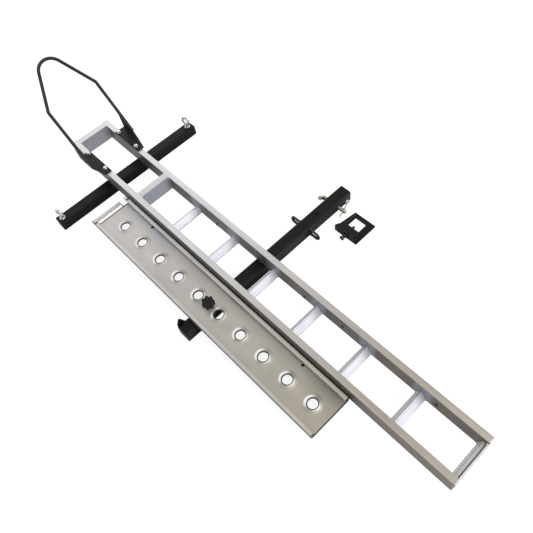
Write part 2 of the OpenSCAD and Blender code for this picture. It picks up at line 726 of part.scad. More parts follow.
module knob_stud() color("#c8cbd0") place() translate([bar_x, ramp_row_y, -stud_reach])
    cylinder(r = stud_r, h = stud_reach + sheet_t + washer_t + knob_neck_h + 0.7 * knob_h - thread_gap);

module knob_washer() color("#c8cbd0") place() translate([bar_x, ramp_row_y, sheet_t])
    washer(knob_neck_d, stud_d + bolt_gap, washer_t);

module hitch_pin() color("#b9b5a8") place() translate([bar_x, pin_y, -bar_w / 2]) difference() {
    bend_x = -bar_side - pin_out;
    tip_x = pin_end - bar_x - pin_tip;
    rotate([-pin_turn, 0, 0]) {
        translate([bend_x, 0, 0]) round_bar(tip_x - bend_x, pin_d / 2);
        translate([tip_x, 0, 0]) rotate([0, 90, 0])
            cylinder(h = pin_tip, r1 = pin_d / 2, r2 = pin_d / 2 - pin_tip);
        translate([bend_x, -pin_bend_r, 0]) rotate([0, 0, 90]) round_arc(pin_bend_r, pin_d / 2, 90);
        translate([bend_x - pin_bend_r, -pin_bend_r - pin_handle, 0]) rotate([0, 0, 90])
            round_bar(pin_handle, pin_d / 2);
    }
    translate([clip_x - bar_x, 0, 0]) rotate([clip_slant - 90, 0, 0])
        cylinder(r = clip_r + pin_gap, h = 2 * pin_d, center = true);
}

// Points of a level or climbing turn about a centre, from one angle and height to another
function turned(centre, r, from, to, low, high, steps) = [for (i = [0 : steps])
    let (a = from + (to - from) * i / steps)
    [centre[0] + r * cos(a), centre[1] + r * sin(a), low + (high - low) * i / steps]];

// Round wire of 12 sides along a path that never stands upright
module wire(path, r) {
    sides = 12;
    last = len(path) - 1;
    ways = [for (i = [0 : last]) path[min(i + 1, last)] - path[max(i - 1, 0)]];
    rings = [for (i = [0 : last])
        let (along = ways[i] / norm(ways[i]))
        let (across = cross([0, 0, 1], along) / norm(cross([0, 0, 1], along)))
        for (j = [0 : sides - 1])
            path[i] + r * (cos(j * 360 / sides) * across + sin(j * 360 / sides) * cross(along, across))];
    skin = [for (i = [0 : last - 1], j = [0 : sides - 1])
        let (a = i * sides + j, b = i * sides + (j + 1) % sides)
        each [[a, a + sides, b + sides], [a, b + sides, b]]];
    start = [for (j = [0 : sides - 1]) j];
    end = [for (j = [sides - 1 : -1 : 0]) last * sides + j];
    polyhedron(points = rings, faces = concat(skin, [start], [end]));
}

// The clip in its own plane: X along the straight leg towards the ring, Y towards the bowed leg,
// Z along the pin, by which one turn of the ring is moved aside
module hitch_clip() color("#c8cbd0") place() translate([clip_x, pin_y, -bar_w / 2])
    rotate([clip_slant, 0, 0]) rotate([90, 0, 90]) {
        ring = [clip_neck, clip_ring_r];
        drop = clip_ring_r * (1 + cos(clip_slope)) - clip_off - clip_bend_r * (1 - cos(clip_slope));
        grip_x = clip_neck - clip_ring_r * sin(clip_slope) - drop / tan(clip_slope)
            - clip_bend_r * sin(clip_slope);
        flare = turned([-clip_grip, clip_off + clip_bend_r], clip_bend_r, -90, -90 - clip_slope,
            clip_pitch, clip_pitch, 2);
        wire(concat(
            [[-clip_tip, 0, 0]],
            turned(ring, clip_ring_r, -90, 90, 0, 0, 9),
            turned(ring, clip_ring_r, 108, 252, 0.1 * clip_pitch, 0.9 * clip_pitch, 8),
            turned(ring, clip_ring_r, 270, 450 + clip_slope, clip_pitch, clip_pitch, 10),
            turned([grip_x, clip_off + clip_bend_r], clip_bend_r, clip_slope - 90, -90,
                clip_pitch, clip_pitch, 2),
            flare,
            [flare[2] + clip_flare * [-cos(clip_slope), sin(clip_slope), 0]]), clip_r);
    }

module window_plate() color("#1b1b1d") place() translate([plate_x0, plate_y0, -bar_w]) difference() {
    cube([plate_x, plate_y, plate_t]);
    translate([window_x, window_y, -cut]) cube([window_w, window_w, plate_t + 2 * cut]);
}

module window_jaw() color("#1b1b1d") place() translate([plate_x0, plate_y0, -bar_w + plate_t])
    difference() {
        union() {
            intersection() {
                translate([-jaw_over, 0, 0]) rotate([90, 0, 90]) linear_extrude(jaw_l)
                    polygon([[0, 0], [plate_y, 0], [0, jaw_h]]);
                linear_extrude(jaw_h) polygon([[-jaw_over, 0], [jaw_l - jaw_over, 0],
                    [jaw_l - jaw_over, window_y], [plate_t, window_y], [plate_t, plate_y], [0, plate_y],
                    [0, jaw_cut_end], [-jaw_over, jaw_cut]]);
            }
            translate([0, 0, -plate_t]) linear_extrude(plate_t)
                polygon([[-jaw_over, 0], [0, 0], [0, jaw_cut_end], [-jaw_over, jaw_cut]]);
        }
        translate([clamp_x, -cut, clamp_up]) rotate([-90, 0, 0])
            cylinder(r = clamp_d / 2 + thread_gap, h = window_y + 2 * cut);
    }

module clamp_lock_nut() color("#2a2a2b") place()
    translate([plate_x0 + clamp_x, plate_y0, clamp_z]) rotate([90, 0, 0]) nut(clamp_d, clamp_nut_h);

module clamp_screw() color("#2a2a2b") place()
    translate([plate_x0 + clamp_x, plate_y0 - clamp_nut_h - clamp_out, clamp_z]) {
        rotate([90, 0, 0]) hex(1.65 * clamp_d, 0.65 * clamp_d);
        rotate([-90, 0, 0]) cylinder(d = clamp_d, h = clamp_nut_h + clamp_out + window_y + clamp_in);
    }

rail_near();
rail_far();
end_tube();
stop_tube();
rung(0);  // rung_1
rung(1);  // rung_2
rung(2);  // rung_3
rung(3);  // rung_4
rung(4);  // rung_5
rung(5);  // rung_6
end_rung();
end_strip();
rail_end_caps();
rail_shut_plates();
rail_screws();
bracket_near();
bracket_far();
wheel_loop();
bracket_bolts();
bracket_washers();
bracket_strips();
tie_bar();
tie_bar_plugs();
tie_bar_bolts();
tie_bar_strips();
eye_bolt_near();
eye_bolt_far();
eye_washers();
eye_nuts();
eye_lock_nuts();
hitch_bar();
hitch_bar_plug();
bar_end_tab();
chain_loop_left();
chain_loop_right();
hitch_bar_bolts();
hitch_bar_strips();
knob_weld_nut();
ramp_deck();
ramp_hook();
knob_grip();
knob_stud();
knob_washer();
hitch_pin();
hitch_clip();
window_plate();
window_jaw();
clamp_lock_nut();
clamp_screw();
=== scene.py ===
# Looks of a hitch-mounted motorcycle carrier: finishes, edges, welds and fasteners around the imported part.
from math import ceil, cos, pi, radians, sin, sqrt, tan
from random import Random

import bmesh
import bpy
from mathutils import Matrix, Vector


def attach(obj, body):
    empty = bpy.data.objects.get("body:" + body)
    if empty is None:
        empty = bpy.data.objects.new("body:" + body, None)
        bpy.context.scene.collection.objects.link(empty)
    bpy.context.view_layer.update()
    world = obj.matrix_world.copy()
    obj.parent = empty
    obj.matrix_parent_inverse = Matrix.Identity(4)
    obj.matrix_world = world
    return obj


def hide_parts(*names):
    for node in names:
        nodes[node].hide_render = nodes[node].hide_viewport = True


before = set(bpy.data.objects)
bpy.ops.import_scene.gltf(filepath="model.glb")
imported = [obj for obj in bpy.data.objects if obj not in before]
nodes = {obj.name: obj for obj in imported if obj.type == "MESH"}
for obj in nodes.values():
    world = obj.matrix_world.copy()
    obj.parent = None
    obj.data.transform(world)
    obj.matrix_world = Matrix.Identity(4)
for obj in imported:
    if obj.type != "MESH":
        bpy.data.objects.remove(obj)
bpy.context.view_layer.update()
mm = 0.001
print("frame loaded:", len(nodes), "nodes")


# Camera, fitted to the straight edges in the photo

camera = {
    "place": (0.99178, -0.59748, 1.72495),
    "aim": (0.11209, -0.01639, 0.0508),
    "roll": 12.0549,        # degrees, the horizon leans by this
    "lens": 37.4376,        # mm on a 36 mm sensor
}


def makeCamera():
    data = bpy.data.cameras.new("photoCamera")
    data.sensor_width = 36
    data.lens = camera["lens"]
    data.clip_start, data.clip_end = 0.05, 60
    eye = bpy.data.objects.new("photoCamera", data)
    bpy.context.collection.objects.link(eye)
    place = Vector(camera["place"])
    look = (Vector(camera["aim"]) - place).normalized()
    turn = look.to_track_quat("-Z", "Y").to_matrix() @ Matrix.Rotation(radians(-camera["roll"]), 3, "Z")
    eye.matrix_world = Matrix.Translation(place) @ turn.to_4x4()
    bpy.context.scene.camera = eye


makeCamera()


# Light, floor and backdrop

studio = {
    "ambient": 0.5,                     # strength of the white surroundings on the part
    "keyPlace": (3.1, 0.9, 2.7),
    "keySize": 2.4,
    "keyPower": 112,
    "sidePlace": (-3.3, 0.9, 1.7),      # low panel beyond the wheel end, for the long sheen
    "sideSize": (2.6, 1.6),
    "sidePower": 24,
    "floorPaint": 0.3,
    "floorGlow": 0.88,                  # for the camera, in reflections and through glass only
    "floorSide": 24,
    "underDepth": 0.12,                 # reflections of the floor fade where something is this near: painted shade
}


def put(tree, kind, sockets=None, **settings):
    # adds one node; a socket's value may be another node's output
    made = tree.nodes.new("ShaderNode" + kind)
    for key, value in settings.items():
        setattr(made, key, value)
    for key, value in (sockets or {}).items():
        if isinstance(value, bpy.types.NodeSocket):
            tree.links.new(value, made.inputs[key])
        else:
            made.inputs[key].default_value = value
    return made


def seenDirectly(tree):
    # 1 for the camera, in mirrors and through glass, else 0
    path = put(tree, "LightPath").outputs
    first = put(tree, "Math", {0: path["Is Camera Ray"], 1: path["Is Glossy Ray"]}, operation="ADD")
    both = put(tree, "Math", {0: first.outputs[0], 1: path["Is Transmission Ray"]}, operation="ADD",
               use_clamp=True)
    return both.outputs[0]


def makeLamp(name, place, power, width, height=None):
    data = bpy.data.lights.new(name, "AREA")
    data.shape = "RECTANGLE" if height else "DISK"
    data.size = width
    if height:
        data.size_y = height
    data.energy = power
    lamp = bpy.data.objects.new(name, data)
    bpy.context.collection.objects.link(lamp)
    lamp.location = place
    lamp.rotation_mode = "QUATERNION"
    lamp.rotation_quaternion = (-Vector(place)).to_track_quat("-Z", "Y")


def makeStudio():
    makeLamp("keyLamp", studio["keyPlace"], studio["keyPower"], studio["keySize"])
    makeLamp("sidePanel", studio["sidePlace"], studio["sidePower"], *studio["sideSize"])
    world = bpy.data.worlds.new("whiteRoom")
    world.use_nodes = True
    tree = world.node_tree
    background = tree.nodes["Background"]
    background.inputs["Color"].default_value = (1, 1, 1, 1)
    strength = put(tree, "MapRange", {0: seenDirectly(tree), 3: studio["ambient"], 4: 1.0})
    tree.links.new(strength.outputs[0], background.inputs["Strength"])
    bpy.context.scene.world = world
    paint = bpy.data.materials.new("paleFloor")
    paint.use_nodes = True
    tree = paint.node_tree
    tree.nodes.clear()
    grey = studio["floorPaint"]
    # in reflections the floor's glow is darkened by ambient occlusion near the part: painted shade
    clear = put(tree, "AmbientOcclusion", {"Distance": studio["underDepth"]}).outputs["AO"]
    paintedShade = put(tree, "Math", {0: clear, 1: 2.0}, operation="POWER").outputs[0]
    mirrored = put(tree, "LightPath").outputs["Is Glossy Ray"]
    shown = put(tree, "MapRange", {0: mirrored, 3: 1.0, 4: paintedShade}).outputs[0]
    glowing = put(tree, "Math", {0: seenDirectly(tree), 1: shown}, operation="MULTIPLY").outputs[0]
    glowing = put(tree, "Math", {0: glowing, 1: studio["floorGlow"]}, operation="MULTIPLY").outputs[0]
    glow = put(tree, "Emission", {"Color": (1, 1, 1, 1), "Strength": glowing})
    matt = put(tree, "BsdfDiffuse", {"Color": (grey, grey, grey, 1)})
    both = put(tree, "AddShader", {0: matt.outputs[0], 1: glow.outputs[0]})
    put(tree, "OutputMaterial", {"Surface": both.outputs[0]})
    half = studio["floorSide"] / 2
    mesh = bpy.data.meshes.new("paleFloor")
    mesh.from_pydata([(-half, -half, 0), (half, -half, 0), (half, half, 0), (-half, half, 0)], [],
                     [(0, 1, 2, 3)])
    mesh.materials.append(paint)
    ground = bpy.data.objects.new("paleFloor", mesh)
    bpy.context.collection.objects.link(ground)
    ground.location.z = -0.0005
    view = bpy.context.scene.view_settings
    view.view_transform = "Standard"


makeStudio()
print("camera and studio made")


# Finishes. Coordinates are the part's own, in metres, so grain keeps its real size on every piece

def tint(red, green, blue):
    # a colour as a picture shows it, 0 to 255, turned into light
    return tuple(((c / 255 + 0.055) / 1.055) ** 2.4 if c > 10 else c / 255 / 12.92
                 for c in (red, green, blue)) + (1,)


def startFinish(name, **fixed):
    made = bpy.data.materials.new(name)
    made.use_nodes = True
    shader = made.node_tree.nodes["Principled BSDF"]
    for key, value in fixed.items():
        shader.inputs[key.replace("_", " ")].default_value = value
    return made, made.node_tree, shader


def grain(tree, scale, stretch=(1, 1, 1), detail=2.0, rough=0.5, shift=(0, 0, 0)):
    place = put(tree, "TexCoord").outputs["Object"]
    spread = put(tree, "Mapping", {"Vector": place, "Location": shift, "Scale": stretch})
    return put(tree, "TexNoise", {"Vector": spread.outputs[0], "Scale": scale, "Detail": detail,
                                  "Roughness": rough}).outputs["Fac"]


def spread(tree, value, low, high, toLow=0.0, toHigh=1.0):
    return put(tree, "MapRange", {0: value, 1: low, 2: high, 3: toLow, 4: toHigh}).outputs[0]


def blend(tree, share, first, second, kind="MIX"):
    return put(tree, "Mix", {0: share, 6: first, 7: second}, data_type="RGBA", blend_type=kind).outputs[2]


def plain(tree, colour):
    made = put(tree, "RGB")
    made.outputs[0].default_value = colour
    return made.outputs[0]


def sums(tree, first, second, kind="ADD"):
    return put(tree, "Math", {0: first, 1: second}, operation=kind).outputs[0]


def shade(tree, colour, value, low, high):
    # multiplies a colour by a grey that follows value
    grey = spread(tree, value, 0.3, 0.7, low, high)
    return blend(tree, 1.0, colour, put(tree, "CombineColor", {0: grey, 1: grey, 2: grey}).outputs[0],
                 "MULTIPLY")


def facing(tree, axis, low, high):
    # 0 to 1 as the surface turns towards one of the part's axes
    normal = put(tree, "TexCoord").outputs["Normal"]
    return spread(tree, put(tree, "SeparateXYZ", {0: normal}).outputs[axis], low, high)


def along(tree, axis, low, high):
    # 0 to 1 from one place to another along an axis
    place = put(tree, "TexCoord").outputs["Object"]
    return spread(tree, put(tree, "SeparateXYZ", {0: place}).outputs[axis], low, high)


def within(tree, axis, low, high, soft):
    # 1 between two places along an axis
    return sums(tree, along(tree, axis, low - soft, low + soft), along(tree, axis, high + soft, high - soft),
                "MULTIPLY")


def roughen(tree, shader, *layers):
    # each layer is a height pattern and its depth in metres
    normal = None
    for height, depth in layers:
        bump = put(tree, "Bump", {"Height": height, "Distance": depth, "Strength": 1.0})
        if normal:
            tree.links.new(normal, bump.inputs["Normal"])
        normal = bump.outputs[0]
    tree.links.new(normal, shader.inputs["Normal"])


def finishColour(tree, shader, colour, roughness):
    tree.links.new(colour, shader.inputs["Base Color"])
    tree.links.new(roughness, shader.inputs["Roughness"])


milled = {
    # tops and sides are lighter at the wheel end and darker at the loading end: painted light; the sides'
    # colours are painted shade
    "topCool": tint(204, 204, 204),     # top faces near the wheel end
    "topWarm": tint(164, 155, 145),     # top faces near the loading end
    "sideCool": tint(122, 119, 119),
    "sideWarm": tint(120, 109, 99),
    "tubeTop": tint(193, 195, 199),
    "tubeSide": tint(178, 180, 192),
    "ground": tint(196, 204, 216),      # brushed patches beside the welds of the rungs
    "groundFirst": -0.2685,             # middle of the first rung
    "groundPitch": 0.212,
    "paintedShade": tint(58, 54, 51),           # painted shadow on the near rail's outer side, beside the ramp
    "shutAlong": (-0.5, 0.66),
    "shutBelow": (0.1195, 0.105),
    "bend": (0.9988, 1.0004),           # bend of the end rung: a painted shade line on its top
    "bendShade": tint(160, 162, 168),
    "metal": 0.45,
    "rough": (0.36, 0.54),
}


def groundPatches(tree):
    # 1 near each rung's welds on the rails, 0 between them
    place = put(tree, "SeparateXYZ", {0: put(tree, "TexCoord").outputs["Object"]}).outputs[0]
    steps = sums(tree, sums(tree, place, milled["groundFirst"], "SUBTRACT"), milled["groundPitch"], "DIVIDE")
    share = put(tree, "Math", {0: sums(tree, steps, 0.5, "ADD")}, operation="FRACT").outputs[0]
    off = put(tree, "Math", {0: sums(tree, share, 0.5, "SUBTRACT")}, operation="ABSOLUTE").outputs[0]
    ragged = sums(tree, off, sums(tree, grain(tree, 45.0, (1, 1, 0.5), 4.0), 0.16, "MULTIPLY"))
    near = spread(tree, ragged, 0.27, 0.17)
    near = sums(tree, near, within(tree, "X", -0.345, 0.885, 0.015), "MULTIPLY")
    return sums(tree, near, within(tree, "Y", -0.1515, -0.0165, 0.0004), "MULTIPLY")


def millFinish(name, axis, top, topFar, side, sideFar, patches=False):
    # drawn tube: long streaks along one axis, upright sides painted darker than the tops as painted shade,
    # handling marks; top to topFar and side to sideFar along X is painted light
    made, tree, shader = startFinish(name, Metallic=milled["metal"])
    stretch = [260, 260, 260]
    stretch[axis] = 2.5
    streak = grain(tree, 1.0, stretch, 3.0)
    fine = grain(tree, 900, detail=1.0)
    cloud = grain(tree, 7.0, detail=4.0, rough=0.6)
    stretch[axis] = 5
    rub = grain(tree, 4.0, stretch, 2.0, shift=(3, 5, 7))
    up = facing(tree, "Z", 0.35, 0.8)
    lengthwise = along(tree, "X", -0.12, 0.7)
    topColour = blend(tree, lengthwise, top, topFar)
    sideColour = blend(tree, lengthwise, side, sideFar)
    if patches:
        share = sums(tree, groundPatches(tree), 0.55, "MULTIPLY")
        sideColour = blend(tree, share, sideColour, milled["ground"])
        # painted shadow on the near rail's outer side, in the gap beside the ramp
        paintedShade = within(tree, "X", *milled["shutAlong"], 0.012)
        paintedShade = sums(tree, paintedShade, along(tree, "Y", -0.171, -0.1715), "MULTIPLY")
        paintedShade = sums(tree, paintedShade, along(tree, "Z", *milled["shutBelow"]), "MULTIPLY")
        sideColour = blend(tree, paintedShade, sideColour, milled["paintedShade"])
    # upright faces take the darker side colour: painted shade
    colour = blend(tree, up, sideColour, topColour)
    colour = shade(tree, colour, streak, 0.91, 1.07)
    colour = shade(tree, colour, cloud, 0.93, 1.06)
    marks = spread(tree, rub, 0.6, 0.74)
    colour = blend(tree, sums(tree, marks, 0.12, "MULTIPLY"), colour, tint(236, 236, 238))
    roughness = spread(tree, sums(tree, cloud, streak), 0.7, 1.3, *milled["rough"])
    finishColour(tree, shader, colour, roughness)
    roughen(tree, shader, (streak, 0.00003), (fine, 0.00002))
    return made


railFinish = millFinish("millRail", 0, milled["topCool"], milled["topWarm"], milled["sideCool"],
                        milled["sideWarm"], patches=True)
tubeFinish = millFinish("millTube", 1, milled["tubeTop"], milled["tubeTop"], milled["tubeSide"],
                        milled["tubeSide"])


def brightEdge(name, colour, metal, rough):
    # a strip of its own colour along an edge: rubbed where it is lighter, painted shade where it is darker
    made, tree, shader = startFinish(name, Metallic=metal)
    wear = grain(tree, 260, detail=3.0)
    paint = shade(tree, plain(tree, colour), wear, 0.85, 1.1)
    finishColour(tree, shader, paint, spread(tree, wear, 0.3, 0.7, rough - 0.06, rough + 0.08))
    roughen(tree, shader, (wear, 0.00002))
    return made


aluminiumEdge = brightEdge("rubbedAluminium", tint(222, 222, 222), 0.5, 0.34)
# darker strip on the rounded edges: a painted shade line
shadedEdge = brightEdge("shadedEdgeAluminium", tint(112, 108, 102), 0.5, 0.45)


def rungFinish(name, steep, foot, crease=None, bright=(tint(234, 234, 241), tint(240, 240, 249))):
    # bright sheet, lighter where it faces +X as painted light; its upright foot is painted shade, and crease
    # is a painted shade line where it meets the strip
    made, tree, shader = startFinish(name, Metallic=0.2)
    streak = grain(tree, 1.0, (420, 3, 420), 3.0)
    cloud = grain(tree, 16.0, detail=3.0)
    fine = grain(tree, 1100, detail=1.0)
    up = facing(tree, "Z", *steep)
    lit = facing(tree, "X", -0.3, 0.3)
    colour = blend(tree, lit, *bright)
    colour = blend(tree, up, foot, colour)
    colour = shade(tree, colour, streak, 0.9, 1.06)
    colour = shade(tree, colour, cloud, 0.95, 1.04)
    if crease:
        colour = blend(tree, within(tree, "X", *milled["bend"], 0.0004), colour, milled["bendShade"])
        colour = blend(tree, along(tree, "X", *crease), colour, foot)
    finishColour(tree, shader, colour, spread(tree, sums(tree, streak, cloud), 0.7, 1.3, 0.44, 0.58))
    roughen(tree, shader, (streak, 0.00003), (fine, 0.00001))
    return made


brightRung = rungFinish("brightRung", (0.1, 0.45), tint(34, 30, 28))
# the end rung is painted near white as painted light, against the strip's shadow; its foot, its bend and the
# crease by the strip are painted shade
brightEndRung = rungFinish("brightEndRung", (-0.1, 0.05), tint(84, 68, 62), (1.0082, 1.0094),
                           (tint(254, 254, 255), tint(254, 254, 255)))
# darker strip on the rungs' rounded edges: a painted shade line
rungEdge = brightEdge("shadedRungEdge", tint(120, 118, 122), 0.3, 0.45)


def capFinish():
    # saw-cut and ground plate, with arcs of the grinding disc
    made, tree, shader = startFinish("groundCap", Metallic=0.4)
    place = put(tree, "TexCoord").outputs["Object"]
    arcs = put(tree, "TexWave", {"Vector": place, "Scale": 180, "Distortion": 3.0, "Detail": 2.0},
               wave_type="RINGS").outputs["Fac"]
    cloud = grain(tree, 30.0, detail=3.0)
    # upright faces take a darker colour than the tops: painted shade
    up = facing(tree, "Z", 0.3, 0.8)
    colour = blend(tree, up, tint(150, 146, 140), tint(204, 197, 192))
    colour = shade(tree, colour, arcs, 0.95, 1.03)
    colour = shade(tree, colour, cloud, 0.92, 1.05)
    finishColour(tree, shader, colour, spread(tree, cloud, 0.3, 0.7, 0.3, 0.5))
    roughen(tree, shader, (arcs, 0.00002), (cloud, 0.00005))
    return made


groundCap = capFinish()


satin = {
    # the deck is lighter at the hook end and darker at the loading end: painted light; side is painted shade
    # on the upright faces
    "cool": tint(196, 191, 188),
    "warm": tint(166, 160, 147),
    "side": tint(150, 146, 142),
    "paintedSheen": tint(170, 180, 197),        # painted cool sheen beside the far edge
    # painted shade along the foot of the far upturned edge
    "cornerShadeTint": tint(112, 106, 104),
    "metal": 0.45,
    "rimMetal": 0.2,
    "rimFirst": -0.4207,                # middle of the first raised hole
    "rimPitch": 0.1108,
    "rimMiddle": -0.2625,
    # painted highlights (crescent, spot) and painted shade (flank, ring) on the raised holes
    "crescent": tint(250, 251, 252),
    "spot": tint(222, 218, 212),
    "flank": tint(148, 142, 137),
    "ring": tint(30, 27, 25),
    # top of each upturned edge: its colour at the hook end and at the other end, and its Y from and to; the
    # far one is painted lighter as painted light
    "lips": ((tint(204, 203, 202), tint(182, 176, 164), -0.3415, -0.3285),
             (tint(250, 250, 251), tint(232, 225, 212), -0.1895, -0.1765)),
    "line": tint(72, 67, 61),           # shaded line along the near side and both ends
    "ends": (-0.5125, 0.6475),          # X of the deck's two ends
    "inside": (-0.1905, -0.1925),       # Y where the painted sheen and the painted shade stop, beside the far lip
}


def rimPlace(tree):
    # distance from the nearest raised hole's middle, and the direction from it along X and Y
    place = put(tree, "SeparateXYZ", {0: put(tree, "TexCoord").outputs["Object"]}).outputs
    steps = sums(tree, sums(tree, place[0], satin["rimFirst"], "SUBTRACT"), satin["rimPitch"], "DIVIDE")
    share = put(tree, "Math", {0: sums(tree, steps, 0.5)}, operation="FRACT").outputs[0]
    dx = sums(tree, sums(tree, share, 0.5, "SUBTRACT"), satin["rimPitch"], "MULTIPLY")
    dy = sums(tree, place[1], satin["rimMiddle"], "SUBTRACT")
    flat = put(tree, "CombineXYZ", {0: dx, 1: dy, 2: 0.0}).outputs[0]
    radius = put(tree, "VectorMath", {0: flat}, operation="LENGTH").outputs["Value"]
    return radius, sums(tree, dx, radius, "DIVIDE"), sums(tree, dy, radius, "DIVIDE")


def rimShades(tree, shader, colour):
    # painted light on the raised holes: a painted highlight crescent on the wheel-end flank, a small painted
    # highlight spot opposite, painted shade on the flanks, and a painted shade ring at the hole's edge
    radius, dirX, dirY = rimPlace(tree)
    tilt = sums(tree, along(tree, "X", 0.55, -0.45), 0.75, "MULTIPLY")
    lit = sums(tree, dirX, sums(tree, dirY, tilt, "MULTIPLY"))
    foot = spread(tree, radius, 0.0315, 0.0265)
    flank = sums(tree, spread(tree, put(tree, "Math", {0: dirY}, operation="ABSOLUTE").outputs[0], 0.5, 0.95),
                 sums(tree, foot, 0.4, "MULTIPLY"), "MULTIPLY")
    colour = blend(tree, flank, colour, satin["flank"])
    bright = sums(tree, spread(tree, lit, -0.25, -0.8), foot, "MULTIPLY")
    colour = blend(tree, bright, colour, satin["crescent"])
    near = spread(tree, radius, 0.0275, 0.0215)
    colour = blend(tree, sums(tree, spread(tree, lit, 0.5, 0.95), near, "MULTIPLY"), colour, satin["spot"])
    colour = blend(tree, spread(tree, radius, 0.0208, 0.02), colour, satin["ring"])
    tree.links.new(spread(tree, foot, 0.0, 1.0, satin["metal"], satin["rimMetal"]), shader.inputs["Metallic"])
    return colour


def rampLines(tree, colour, lengthwise):
    # brighter tops of the upturned edges as painted light, and a shaded line beside them and along both ends
    for first, last, low, high in satin["lips"]:
        lipColour = blend(tree, lengthwise, first, last)
        colour = blend(tree, within(tree, "Y", low, high, 0.0004), colour, lipColour)
    soft = 0.0006
    hookEnd, loadEnd = satin["ends"]
    nearSide = satin["lips"][0][2]
    lines = [("Y", nearSide - 0.002, nearSide + 0.0014), ("X", loadEnd - 0.0042, loadEnd + 0.002),
             ("X", hookEnd - 0.002, hookEnd + 0.0056)]
    for axis, low, high in lines:
        colour = blend(tree, within(tree, axis, low, high, soft), colour, satin["line"])
    return colour


def rampFinish(name, pressed=False):
    # rolled sheet: broad soft blotches, painted shade along the far lip's foot, a painted cool sheen beside
    # the far edge; lighter towards the hook end as painted light, upright faces painted shade pressed adds
    # painted highlights and painted shade on the flanks of the raised holes, and painted shade on their walls
    made, tree, shader = startFinish(name, Metallic=satin["metal"])
    streak = grain(tree, 1.0, (3, 320, 320), 3.0)
    cloud = grain(tree, 5.0, detail=5.0, rough=0.6)
    fine = grain(tree, 1000, detail=1.0)
    smear = grain(tree, 22.0, (0.35, 1.6, 1), 3.0, shift=(2, 9, 4))
    up = facing(tree, "Z", 0.2, 0.8)
    lengthwise = along(tree, "X", -0.35, 0.6)
    colour = blend(tree, lengthwise, satin["cool"], satin["warm"])
    # painted cool sheen near the far edge
    paintedSheen = sums(tree, along(tree, "Y", -0.236, -0.206), along(tree, "X", -0.12, -0.3), "MULTIPLY")
    paintedSheen = sums(tree, paintedSheen, along(tree, "Y", *satin["inside"]), "MULTIPLY")
    paintedSheen = sums(tree, paintedSheen, spread(tree, smear, 0.3, 0.6), "MULTIPLY")
    colour = blend(tree, sums(tree, paintedSheen, 0.75, "MULTIPLY"), colour, satin["paintedSheen"])
    # painted shade in the corner at the far lip's foot
    cornerShade = sums(tree, along(tree, "Y", -0.25, -0.2), along(tree, "X", 0.46, 0.56), "MULTIPLY")
    cornerShade = sums(tree, cornerShade, along(tree, "Y", *satin["inside"]), "MULTIPLY")
    colour = blend(tree, sums(tree, cornerShade, 0.4, "MULTIPLY"), colour, satin["cornerShadeTint"])
    if pressed:
        colour = rimShades(tree, shader, colour)
    else:
        colour = rampLines(tree, colour, lengthwise)
    # upright faces take the side colour, or on the raised holes the dark ring colour: painted shade
    colour = blend(tree, up, satin["ring"] if pressed else satin["side"], colour)
    colour = shade(tree, colour, cloud, 0.9, 1.07)
    colour = shade(tree, colour, smear, 0.95, 1.04)
    colour = shade(tree, colour, streak, 0.97, 1.02)
    finishColour(tree, shader, colour, spread(tree, sums(tree, cloud, smear), 0.7, 1.3, 0.3, 0.5))
    roughen(tree, shader, (cloud, 0.0004), (streak, 0.00003), (fine, 0.00001))
    return made


satinRamp = rampFinish("satinRamp")
pressedRamp = rampFinish("pressedRamp", True)


def powderFinish(name, colour, rough=0.42, side=tint(15, 15, 16)):
    # powder coat: orange peel, thin spots on the run of the bar, fine dust
    speck = tint(66, 64, 64)
    made, tree, shader = startFinish(name, Specular_IOR_Level=0.14)
    peel = grain(tree, 520, detail=1.5)
    cloud = grain(tree, 11.0, detail=4.0)
    dust = grain(tree, 1500, detail=0.0)
    # top and upright faces take separate colours: painted light and painted shade
    up = facing(tree, "Z", 0.2, 0.9)
    base = blend(tree, up, side, colour)
    base = shade(tree, base, cloud, 0.8, 1.2)
    specks = sums(tree, spread(tree, dust, 0.72, 0.78), spread(tree, cloud, 0.4, 0.65), "MULTIPLY")
    base = blend(tree, sums(tree, specks, 0.5, "MULTIPLY"), base, speck)
    finishColour(tree, shader, base, spread(tree, cloud, 0.3, 0.7, rough - 0.07, rough + 0.08))
    roughen(tree, shader, (peel, 0.00006), (cloud, 0.0001))
    return made


blackBar = powderFinish("powderBlack", tint(17, 17, 20))
blackTie = powderFinish("powderBlackTie", tint(10, 10, 13), 0.5)
# the hitch bar's upright faces are painted lighter: painted light
blackHitch = powderFinish("powderBlackHitch", tint(16, 16, 18), side=tint(30, 30, 30))
# the rod's upper faces are painted lighter than the rest: painted highlight
blackRod = powderFinish("powderBlackRod", tint(70, 64, 58), 0.36, side=tint(8, 8, 8))
blackEdge = brightEdge("thinCoatEdge", tint(52, 52, 56), 0.1, 0.34)


def platedFinish(name, light, dark, rough=0.24, metal=0.95):
    # zinc: fine crystals and darker stains
    made, tree, shader = startFinish(name, Metallic=metal)
    crystal = put(tree, "TexVoronoi", {"Vector": put(tree, "TexCoord").outputs["Object"], "Scale": 900})
    cloud = grain(tree, 160, detail=3.0)
    colour = blend(tree, spread(tree, cloud, 0.35, 0.7), light, dark)
    colour = shade(tree, colour, crystal.outputs["Distance"], 0.94, 1.04)
    finishColour(tree, shader, colour, spread(tree, cloud, 0.3, 0.7, rough - 0.06, rough + 0.12))
    roughen(tree, shader, (crystal.outputs["Distance"], 0.00001), (cloud, 0.00003))
    return made


